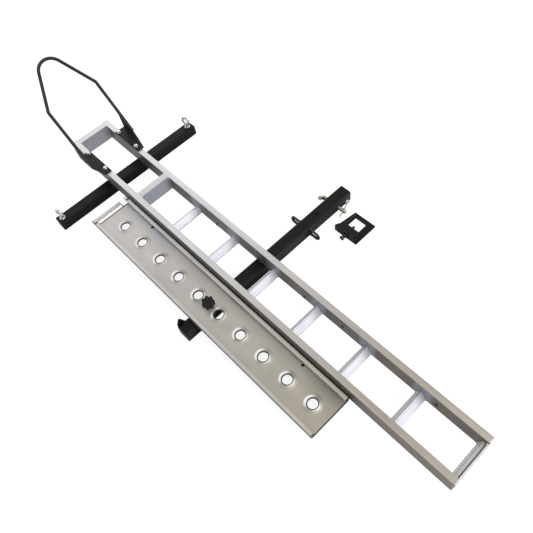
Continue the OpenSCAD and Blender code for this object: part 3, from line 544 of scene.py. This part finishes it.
zinc = platedFinish("brightZinc", tint(214, 215, 218), tint(150, 152, 156))
pinZinc = platedFinish("yellowedZinc", tint(196, 191, 176), tint(120, 114, 98), 0.3)
plainSteel = platedFinish("plainSteel", tint(150, 150, 152), tint(104, 104, 106), 0.38, 0.85)
darkScrew = platedFinish("darkScrew", tint(84, 78, 72), tint(48, 44, 40), 0.4, 0.8)
blackZinc = platedFinish("blackZinc", tint(50, 50, 52), tint(26, 26, 27), 0.34, 0.5)
beadAluminium = platedFinish("weldAluminium", tint(224, 226, 232), tint(166, 168, 176), 0.3, 0.7)


def mouldedFinish(name, colour, rough):
    made, tree, shader = startFinish(name, Specular_IOR_Level=0.18)
    stipple = grain(tree, 1300, detail=1.0)
    cloud = grain(tree, 40, detail=3.0)
    base = shade(tree, plain(tree, colour), cloud, 0.8, 1.25)
    finishColour(tree, shader, base, spread(tree, cloud, 0.3, 0.7, rough - 0.06, rough + 0.08))
    roughen(tree, shader, (stipple, 0.00004))
    return made


knobPlastic = mouldedFinish("mouldedKnob", tint(20, 20, 23), 0.42)
plugPlastic = mouldedFinish("mouldedPlug", tint(18, 18, 20), 0.5)
print("finishes made:", len(bpy.data.materials))


# Edges of the carried-over nodes: flat triangles joined, a small round on each edge, even shading

def shadingGroup(name, angle):
    # a geometry step that shades by angle and drops the imported normals
    group = bpy.data.node_groups.new(name, "GeometryNodeTree")
    group.interface.new_socket("Geometry", in_out="INPUT", socket_type="NodeSocketGeometry")
    group.interface.new_socket("Geometry", in_out="OUTPUT", socket_type="NodeSocketGeometry")
    start = group.nodes.new("NodeGroupInput")
    end = group.nodes.new("NodeGroupOutput")
    normals = group.nodes.new("GeometryNodeSetMeshNormal")
    normals.mode = "SHARPNESS"
    bend = group.nodes.new("GeometryNodeInputMeshEdgeAngle")
    sharp = group.nodes.new("FunctionNodeCompare")
    sharp.data_type = "FLOAT"
    sharp.operation = "GREATER_THAN"
    sharp.inputs[1].default_value = radians(angle)
    group.links.new(bend.outputs["Unsigned Angle"], sharp.inputs[0])
    group.links.new(start.outputs[0], normals.inputs["Mesh"])
    normals.inputs["Remove Custom"].default_value = True
    group.links.new(sharp.outputs[0], normals.inputs["Edge Sharpness"])
    group.links.new(normals.outputs[0], end.inputs[0])
    return group


evenShading = shadingGroup("evenShading", 32)


def smoothFlats(piece):
    even = piece.modifiers.new("evenShading", "NODES")
    even.node_group = evenShading
    weigh = piece.modifiers.new("flatFirst", "WEIGHTED_NORMAL")
    weigh.keep_sharp = True
    weigh.weight = 100


def dress(name, finish, edge, width, steps):
    # width is the edge's round in mm; a width of 0 leaves the solid's own faces
    piece = nodes[name]
    piece.data.materials.clear()
    piece.data.materials.append(finish)
    if not width:
        return
    weld = piece.modifiers.new("joinPoints", "WELD")
    weld.merge_threshold = 0.00001
    flat = piece.modifiers.new("joinFlats", "DECIMATE")
    flat.decimate_type = "DISSOLVE"
    flat.angle_limit = radians(0.6)
    bevel = piece.modifiers.new("edgeRound", "BEVEL")
    bevel.width = width * mm
    bevel.segments = steps
    bevel.limit_method = "ANGLE"
    bevel.angle_limit = radians(40)
    bevel.use_clamp_overlap = True
    if edge:
        piece.data.materials.append(edge)
        bevel.material = 1
    smoothFlats(piece)


dressing = {
    "rail": {"names": ["rail_near", "rail_far", "rail_shut_plates"], "finish": railFinish,
             "edge": shadedEdge, "width": 0.7},
    "crossTube": {"names": ["end_tube", "stop_tube"], "finish": tubeFinish, "edge": aluminiumEdge,
                  "width": 1.0},
    "rung": {"names": [f"rung_{i}" for i in range(1, 7)], "finish": brightRung, "edge": rungEdge,
             "width": 0.7},
    "endRung": {"names": ["end_rung"], "finish": brightEndRung, "edge": rungEdge, "width": 0.7},
    "cap": {"names": ["rail_end_caps", "end_strip"], "finish": groundCap, "edge": shadedEdge,
            "width": 0.7},
    "ramp": {"names": ["ramp_deck", "ramp_hook"], "finish": satinRamp, "edge": shadedEdge, "width": 0.6},
    "blackPlate": {"names": ["bracket_near", "bracket_far", "bar_end_tab", "window_plate", "window_jaw"],
                   "finish": blackBar, "edge": blackEdge, "width": 0.7},
    "tieBar": {"names": ["tie_bar"], "finish": blackTie},
    "hitchBar": {"names": ["hitch_bar"], "finish": blackHitch},
    "blackRod": {"names": ["wheel_loop", "chain_loop_left", "chain_loop_right"], "finish": blackRod},
    "plug": {"names": ["tie_bar_plugs", "hitch_bar_plug"], "finish": plugPlastic, "width": 0.8},
    "knob": {"names": ["knob_grip"], "finish": knobPlastic, "width": 2.2, "steps": 4},
    "zinc": {"names": ["bracket_bolts", "bracket_washers", "tie_bar_bolts", "eye_bolt_near",
                       "eye_bolt_far", "eye_washers", "eye_nuts", "eye_lock_nuts", "hitch_bar_bolts",
                       "knob_stud", "knob_washer", "hitch_clip"],
             "finish": zinc},
    "screw": {"names": ["rail_screws"], "finish": darkScrew},
    "pin": {"names": ["hitch_pin"], "finish": pinZinc},
    "hidden": {"names": ["bracket_strips", "tie_bar_strips", "hitch_bar_strips", "knob_weld_nut"],
               "finish": plainSteel},
    "clamp": {"names": ["clamp_lock_nut", "clamp_screw"], "finish": blackZinc},
}
for group in dressing.values():
    for nodeName in group["names"]:
        dress(nodeName, group["finish"], group.get("edge"), group.get("width", 0), group.get("steps", 2))
print("nodes dressed")


# Shapes that are finer than the solids: weld beads, chamfered heads, threads, forged eyes, pressed rims

def addPiece(name, mesh, finish, body, stands=()):
    # puts a finished mesh in the scene; stands lists the nodes that it is shown instead of
    mesh.materials.append(finish)
    for face in mesh.polygons:
        face.use_smooth = True
    piece = bpy.data.objects.new(name, mesh)
    bpy.context.collection.objects.link(piece)
    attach(piece, body)
    if stands:
        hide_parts(*stands)
    return piece


def toMesh(name, bm):
    bmesh.ops.recalc_face_normals(bm, faces=bm.faces)
    mesh = bpy.data.meshes.new(name)
    bm.to_mesh(mesh)
    bm.free()
    return mesh


def skin(bm, rings, closed=False):
    # faces from each ring of points to the next; closed joins the last ring to the first
    pairs = list(zip(rings, rings[1:]))
    if closed:
        pairs.append((rings[-1], rings[0]))
    for a, b in pairs:
        for i in range(len(a)):
            k = (i + 1) % len(a)
            bm.faces.new((a[i], a[k], b[k], b[i]))
    if not closed:
        bm.faces.new(rings[0])
        bm.faces.new(rings[-1])


def squareTo(axis):
    # an axis and two directions square to it, all of length 1
    out = Vector(axis).normalized()
    side = Vector((1, 0, 0)) if abs(out.x) < 0.9 else Vector((0, 1, 0))
    side = (side - out * side.dot(out)).normalized()
    return out, side, out.cross(side)


def resampled(path, step):
    # points at even steps along a path in millimetres
    points = [Vector(p) for p in path]
    marks = [0.0]
    for a, b in zip(points, points[1:]):
        marks.append(marks[-1] + (b - a).length)
    count = max(2, ceil(marks[-1] / step))
    out = []
    k = 0
    for i in range(count + 1):
        at = marks[-1] * i / count
        while k < len(points) - 2 and marks[k + 1] < at:
            k += 1
        share = (at - marks[k]) / max(marks[k + 1] - marks[k], 1e-9)
        out.append(points[k].lerp(points[k + 1], min(share, 1)))
    return out


bead = {
    "step": 0.5,
    "ripple": 2.4,                      # length of one drop
    "depth": 0.22,                      # share by which a drop narrows
    "wander": 0.25,
    "sides": 10,
}


def addBead(bm, path, radius, chance, closed):
    # a weld bead: overlapping drops along a path, each a little larger than where it meets the next
    points = resampled(path, bead["step"])
    if closed:
        points = points[:-1]
    last = len(points) - 1
    rings = []
    wander = Vector((0, 0, 0))
    pitch = int(bead["ripple"] / bead["step"])
    for i, point in enumerate(points):
        before = points[(i - 1) % len(points)] if closed or i else points[0]
        after = points[(i + 1) % len(points)] if closed or i < last else points[last]
        way = (after - before).normalized()
        side = way.cross(Vector((0.31, 0.17, 0.93)))
        if side.length < 0.2:
            side = way.cross(Vector((1, 0, 0)))
        side.normalize()
        rise = way.cross(side)
        if i % pitch == 0:
            wander = Vector([chance.uniform(-1, 1) * bead["wander"] for _ in range(3)])
            swell = chance.uniform(0.93, 1.08)
        phase = (i % pitch) / pitch
        size = radius * swell * (1 - bead["depth"] * phase)
        if not closed:
            gap = min(i, last - i) * bead["step"] / radius
            if gap < 1:
                size *= sqrt(max(0.06, 1 - (1 - gap) ** 2))
        ring = []
        for j in range(bead["sides"]):
            turn = 2 * pi * j / bead["sides"]
            spot = point + wander * 0.5 + side * (size * cos(turn)) + rise * (size * sin(turn))
            ring.append(bm.verts.new(spot * mm))
        rings.append(ring)
    skin(bm, rings, closed)


def circlePath(centre, radius, first, second):
    # a closed circle in the plane of two directions
    steps = 36
    a, b = Vector(first), Vector(second)
    return [Vector(centre) + a * (radius * cos(2 * pi * i / steps)) + b * (radius * sin(2 * pi * i / steps))
            for i in range(steps + 1)]


def beadPiece(name, runs, finish, body, seed):
    bm = bmesh.new()
    chance = Random(seed)
    for path, radius, closed in runs:
        addBead(bm, path, radius, chance, closed)
    return addPiece(name, toMesh(name, bm), finish, body)


# Track: corner beads of the tubes, and a bead round each end of every rung

track = {
    "middle": -84,
    "inner": (-150.5, -17.5),           # inner faces of the two rails
    "under": 50.8,
    "top": 120.8,
    "tubes": ((-893.5, -865.5), (-462.5, -434.5)),
    "rungFirst": -268.5,                # middle of the first rung
    "rungPitch": 212,
    "rungCount": 6,
    "rungHalf": 18.5,
    "rungTop": 2.5,
    "rungLip": 54.8,
    "rungHeight": 77.8,
    "endRung": (990.5, 999.5, 1011.5),
    "endRungHeight": 93.8,
    "stripTop": 114.8,
    "off": 0.8,                         # how far a bead's middle stays off the faces that it joins
    "tubeBead": 3.2,
    "stopBead": 3.0,
    "rungBead": 2.5,
    "stripBead": 2.4,
}


def trackRuns():
    runs = []
    low, top, off = track["under"], track["top"], track["off"]

    def upright(x, y, foot, head, radius):
        runs.append(([(x, y, foot), (x, y, head)], radius, False))

    def acrossEnd(outline, y):
        runs.append(([(x, y, z) for x, z in outline], track["rungBead"], False))

    for y in track["inner"]:
        inward = 1 if y < track["middle"] else -1
        beside = y + inward * off
        for k, (back, front) in enumerate(track["tubes"]):
            upright(front + off, beside, low + 1, top - 2, track["tubeBead"])
            if k == 1:
                upright(back - off, beside, low + 1, top - 2, track["stopBead"])
        for i in range(track["rungCount"]):
            x = track["rungFirst"] + i * track["rungPitch"]
            half, crown = track["rungHalf"], track["rungTop"]
            outline = [(x - half - 0.5, low + 0.5), (x - half - 0.5, track["rungLip"]),
                       (x - crown, track["rungHeight"] + 0.7), (x + crown, track["rungHeight"] + 0.7),
                       (x + half + 0.5, track["rungLip"]), (x + half + 0.5, low + 0.5)]
            acrossEnd(outline, y + inward * 0.9)
        foot, crown, end = track["endRung"]
        tall = track["endRungHeight"]
        outline = [(foot - 0.5, low + 0.5), (crown, tall + 0.7), (end - 2, tall + 0.7)]
        acrossEnd(outline, y + inward * 0.9)
        upright(end - 0.5, beside, tall, track["stripTop"] - 2, track["stripBead"])
    return runs


beadPiece("track_welds", trackRuns(), beadAluminium, "carrier", 11)


# Wheel loop brackets: the upright plate on the flat one, and the rod along the upright plate

loop = {
    "foot": (-722.5, 144.8),            # lower end of the legs, X and Z
    "tilt": 44,                         # degrees above the track
    "plates": (-197.5, 29.5),           # middles of the two upright plates
    "back": -796.5,
    "front": -712,
    "flat": 125.8,                      # top of the flat plates
    "rodOff": (3.6, 5.6),               # from a plate's middle and from the rod's middle to the bead
    "rodBead": 2.6,
    "flatOff": 3.3,
    "flatBead": 2.3,
}


def loopRuns():
    runs = []
    tilt = radians(loop["tilt"])
    up, out = Vector((-cos(tilt), 0, sin(tilt))), Vector((-sin(tilt), 0, -cos(tilt)))
    length = (loop["foot"][0] - loop["back"]) / cos(tilt)
    aside, below = loop["rodOff"]
    height = loop["flat"] + 0.5
    for y in loop["plates"]:
        for side in (-1, 1):
            start = Vector((loop["foot"][0], y + side * aside, loop["foot"][1])) + out * below
            runs.append(([start + up * 2, start + up * (length - 6)], loop["rodBead"], False))
            flat = y + side * loop["flatOff"]
            if (side < 0) == (y > track["middle"]):
                runs.append(([(loop["back"] + 3, flat, height), (loop["front"], flat, height)],
                             loop["flatBead"], False))
    return runs


beadPiece("bracket_welds", loopRuns(), blackRod, "carrier", 12)


# Hitch bar: chain loops and end tab

bar = {
    "faces": (58.6, 110.4),             # X of the beads round the legs of the chain loops
    "legs": (12.4, 38.4),
    "loopPlace": 209,
    "loopRound": 5.9,
    "loopBead": 2.2,
    "tabX": 58.3,
    "tabEnd": (-358.2, 26, 49),         # Y of the upright bead, and its lower and upper end
    "tabFoot": (-386, -360, 24.8),      # Y ends of the lying bead, and its height
    "tabBead": 2.3,
}


def barRuns():
    runs = []
    for x in bar["faces"]:
        for z in bar["legs"]:
            ring = circlePath((x, bar["loopPlace"], z), bar["loopRound"], (0, 1, 0), (0, 0, 1))
            runs.append((ring, bar["loopBead"], True))
    x = bar["tabX"]
    y, low, high = bar["tabEnd"]
    runs.append(([(x, y, low), (x, y, high)], bar["tabBead"], False))
    first, last, z = bar["tabFoot"]
    runs.append(([(x, first, z), (x, last, z)], bar["tabBead"], False))
    return runs


beadPiece("bar_welds", barRuns(), blackRod, "carrier", 13)


# Window bracket: the jaw on its plate

jaw = {
    "beads": ((173.2, 331, 396), (248.3, 291, 326)),    # X of each bead, and its Y from and to
    "height": 7.0,
    "bead": 2.2,
}


def jawRuns():
    z = jaw["height"]
    return [([(x, first, z), (x, last, z)], jaw["bead"], False) for x, first, last in jaw["beads"]]


beadPiece("jaw_welds", jawRuns(), blackRod, "window_bracket", 14)
print("welds made")


# Chamfered hexagons

def addHex(bm, centre, axis, across, height, bore=0.0, both=False):
    # a head or nut standing on centre; its corners are turned off at 30 degrees, both for both ends
    steps = 48
    out = Vector(axis).normalized()
    side = out.orthogonal().normalized()
    if abs(out.z) > 0.9:
        side = Vector((1, 0, 0))
    rise = out.cross(side)
    flat = across / 2
    crown = flat * 0.97

    def ring(radius, depth):
        return [bm.verts.new((Vector(centre) + side * (radius(a) * cos(a)) + rise * (radius(a) * sin(a))
                              + out * depth(radius(a))) * mm)
                for a in [2 * pi * i / steps for i in range(steps)]]

    def wall(a):
        turn = (a + pi / 6) % (pi / 3) - pi / 6
        return flat / cos(turn)

    def cut(r):
        return max(0.0, (r - crown)) * tan(radians(30))

    rings = []
    if both:
        rings.append(ring(lambda a: crown, lambda r: 0.0))
        rings.append(ring(wall, cut))
    else:
        rings.append(ring(wall, lambda r: 0.0))
    rings.append(ring(wall, lambda r: height - cut(r)))
    rings.append(ring(lambda a: crown, lambda r: height))
    if bore:
        rings.append(ring(lambda a: bore + 0.8, lambda r: height))
        rings.append(ring(lambda a: bore, lambda r: height - 0.8))
        rings.append(ring(lambda a: bore, lambda r: 0.8 if both else 0.0))
        if both:
            rings.append(ring(lambda a: bore + 0.8, lambda r: 0.0))
    skin(bm, rings, bore > 0)


def addLathe(bm, centre, axis, profile, steps=32):
    # profile points are (radius, distance along the axis)
    out, side, rise = squareTo(axis)
    rings = []
    for radius, depth in profile:
        rings.append([bm.verts.new((Vector(centre) + side * (radius * cos(2 * pi * i / steps))
                                    + rise * (radius * sin(2 * pi * i / steps)) + out * depth) * mm)
                      for i in range(steps)])
    skin(bm, rings)


def addThread(bm, centre, axis, outer, pitch, length):
    # a rod with a helical groove and a chamfered tip
    steps = 28
    out, side, rise = squareTo(axis)
    depth = 0.6 * pitch
    ringsPerTurn = 5
    count = ceil(length / pitch * ringsPerTurn)
    rings = []
    for k in range(count + 1):
        at = length * k / count
        ring = []
        for i in range(steps):
            turn = 2 * pi * i / steps
            phase = (at / pitch - i / steps) % 1
            radius = outer - depth * (1 - abs(2 * phase - 1))
            radius = min(radius, outer - max(0, at - (length - pitch)))
            across = side * (radius * cos(turn)) + rise * (radius * sin(turn))
            ring.append(bm.verts.new((Vector(centre) + across + out * at) * mm))
        rings.append(ring)
    skin(bm, rings)


def smoothByAngle(piece):
    piece.modifiers.new("evenShading", "NODES").node_group = evenShading


bracketBolts = {
    "xs": (-782.5, -661.5),
    "ys": (-161.5, -6.5),
    "under": 127.8,
    "across": 13.2,
    "height": 5.2,
    "shank": [(4, 0), (4, 15.5), (3.2, 17.2)],
}


def makeBracketBolts():
    bm = bmesh.new()
    for x in bracketBolts["xs"]:
        for y in bracketBolts["ys"]:
            addHex(bm, (x, y, bracketBolts["under"]), (0, 0, 1), bracketBolts["across"],
                   bracketBolts["height"])
            addLathe(bm, (x, y, bracketBolts["under"] - 0.1), (0, 0, -1), bracketBolts["shank"])
    smoothByAngle(addPiece("bracket_bolts_formed", toMesh("bracketBolts", bm), zinc, "carrier",
                           ["bracket_bolts"]))


makeBracketBolts()


eye = {
    "x": -656.8,
    "ends": {"eye_bolt_near": (-410, 105), "eye_bolt_far": (242, 108)},     # Y and the ring's turn
    "centre": 82.8,
    "ring": 16,
    "bar": 5,
    "shank": 5,
    "foot": 37.8,
    "nuts": {"eye_nuts": 52.8, "eye_lock_nuts": 39.8},                      # underside of each nut
    "nutAcross": 16.5,
    "nutHeight": 8,
    "nutBore": 5.05,
    "pitch": 1.5,
    # where the ring meets the shank: radius, and distance down from inside the ring
    "collar": [(3.6, 0), (4.6, 1.2), (5.6, 2.6), (6.6, 3.6), (6.6, 4.3), (5.1, 4.8), (5.0, 6)],
    "outer": 40,
    "inner": 16,
}


def makeEyes():
    for node, (y, turn) in eye["ends"].items():
        bm = bmesh.new()
        spin = Matrix.Rotation(radians(turn), 3, "Z")
        outer, inner = eye["outer"], eye["inner"]
        rings = []
        for i in range(outer):
            a = 2 * pi * i / outer
            ring = []
            for j in range(inner):
                b = 2 * pi * j / inner
                reach = eye["ring"] + eye["bar"] * cos(b)
                flat = Vector((eye["bar"] * 0.95 * sin(b), reach * cos(a), reach * sin(a)))
                ring.append(bm.verts.new((spin @ flat + Vector((eye["x"], y, eye["centre"]))) * mm))
            rings.append(ring)
        for i in range(outer):
            for j in range(inner):
                k, m = (i + 1) % outer, (j + 1) % inner
                bm.faces.new((rings[i][j], rings[k][j], rings[k][m], rings[i][m]))
        drop = eye["centre"] - eye["ring"]
        addLathe(bm, (eye["x"], y, drop + 1.5), (0, 0, -1), eye["collar"], 28)
        name = node + "_forged"
        piece = addPiece(name, toMesh(name, bm), zinc, "carrier", [node])
        fuse = piece.modifiers.new("forge", "REMESH")
        fuse.mode = "VOXEL"
        fuse.voxel_size = 0.0007
        fuse.use_smooth_shade = True
        soft = piece.modifiers.new("soften", "SMOOTH")
        soft.factor = 0.5
        soft.iterations = 8
        bm = bmesh.new()
        addThread(bm, (eye["x"], y, drop - 4), (0, 0, -1), eye["shank"], eye["pitch"],
                  drop - 4 - eye["foot"])
        name = node + "_thread"
        addPiece(name, toMesh(name, bm), zinc, "carrier", [node])


makeEyes()


def makeEyeNuts():
    for node, under in eye["nuts"].items():
        bm = bmesh.new()
        for y, turn in eye["ends"].values():
            addHex(bm, (eye["x"], y, under), (0, 0, 1), eye["nutAcross"], eye["nutHeight"],
                   eye["nutBore"], True)
        name = node + "_formed"
        smoothByAngle(addPiece(name, toMesh(name, bm), zinc, "carrier", [node]))


makeEyeNuts()


clamp = {
    "x": 211.9,
    "z": 15.3,
    "nutTo": 281,
    "nutFrom": 289,
    "headFrom": 267,
    "headTo": 273.5,
    "tip": 339,
    "across": 16.5,
    "radius": 5,
    "bore": 5.05,
    "pitch": 1.5,
}


def makeClamp():
    bm = bmesh.new()
    addHex(bm, (clamp["x"], clamp["nutFrom"], clamp["z"]), (0, -1, 0), clamp["across"],
           clamp["nutFrom"] - clamp["nutTo"], clamp["bore"], True)
    smoothByAngle(addPiece("clamp_lock_nut_formed", toMesh("clampNut", bm), blackZinc, "window_bracket",
                           ["clamp_lock_nut"]))
    bm = bmesh.new()
    addHex(bm, (clamp["x"], clamp["headTo"], clamp["z"]), (0, -1, 0), clamp["across"],
           clamp["headTo"] - clamp["headFrom"])
    addThread(bm, (clamp["x"], clamp["headTo"] - 0.2, clamp["z"]), (0, 1, 0), clamp["radius"] - 0.05,
              clamp["pitch"], clamp["tip"] - clamp["headTo"] + 0.2)
    smoothByAngle(addPiece("clamp_screw_formed", toMesh("clampScrew", bm), blackZinc, "clamp",
                           ["clamp_screw"]))


makeClamp()


ramp = {
    "deckTop": 53.8,
    "row": -262.5,                      # Y of the raised holes
    "rimFirst": -420.7,
    "rimPitch": 110.8,
    "rimCount": 10,
    "holes": ((-339.5, -194), (466.5, -194)),
    "rimSteps": 72,
    # section of a pressed rim: radius and height over the deck
    "rimSection": [(34.5, -0.3), (33.4, 0.12), (31.8, 0.42), (29.0, 1.25), (25.5, 2.45), (22.4, 3.65),
                   (20.4, 4.35), (19.2, 4.68), (18.1, 4.72), (17.3, 4.4), (16.9, 3.7), (16.8, 2.0),
                   (16.8, -1.2)],
    # section of a button, a dark plug standing in for the shade in a small hole: radius and height over its
    # lower end
    "button": [(3.7, 0), (3.8, 3.1), (5.2, 3.15), (5.3, 3.9), (4.6, 4.5), (2.4, 4.9)],
    "buttonFoot": 3.2,
}


def makeRims():
    bm = bmesh.new()
    steps = ramp["rimSteps"]
    turns = [2 * pi * i / steps for i in range(steps)]
    for number in range(ramp["rimCount"]):
        x = ramp["rimFirst"] + number * ramp["rimPitch"]
        rings = []
        for radius, height in ramp["rimSection"]:
            rings.append([bm.verts.new(Vector((x + radius * cos(a), ramp["row"] + radius * sin(a),
                                               ramp["deckTop"] + height)) * mm) for a in turns])
        for a, b in zip(rings, rings[1:]):
            for i in range(steps):
                k = (i + 1) % steps
                bm.faces.new((a[i], b[i], b[k], a[k]))
    mesh = bpy.data.meshes.new("rims")
    bm.to_mesh(mesh)
    bm.free()
    addPiece("ramp_rims", mesh, pressedRamp, "ramp")
    # dark plastic buttons in the two small holes: a dark piece put where there is only shade
    bm = bmesh.new()
    for x, y in ramp["holes"]:
        addLathe(bm, (x, y, ramp["deckTop"] - ramp["buttonFoot"]), (0, 0, 1), ramp["button"], 24)
    smoothByAngle(addPiece("ramp_shade_plugs", toMesh("buttons", bm), plugPlastic, "ramp"))


makeRims()
print("pieces made")
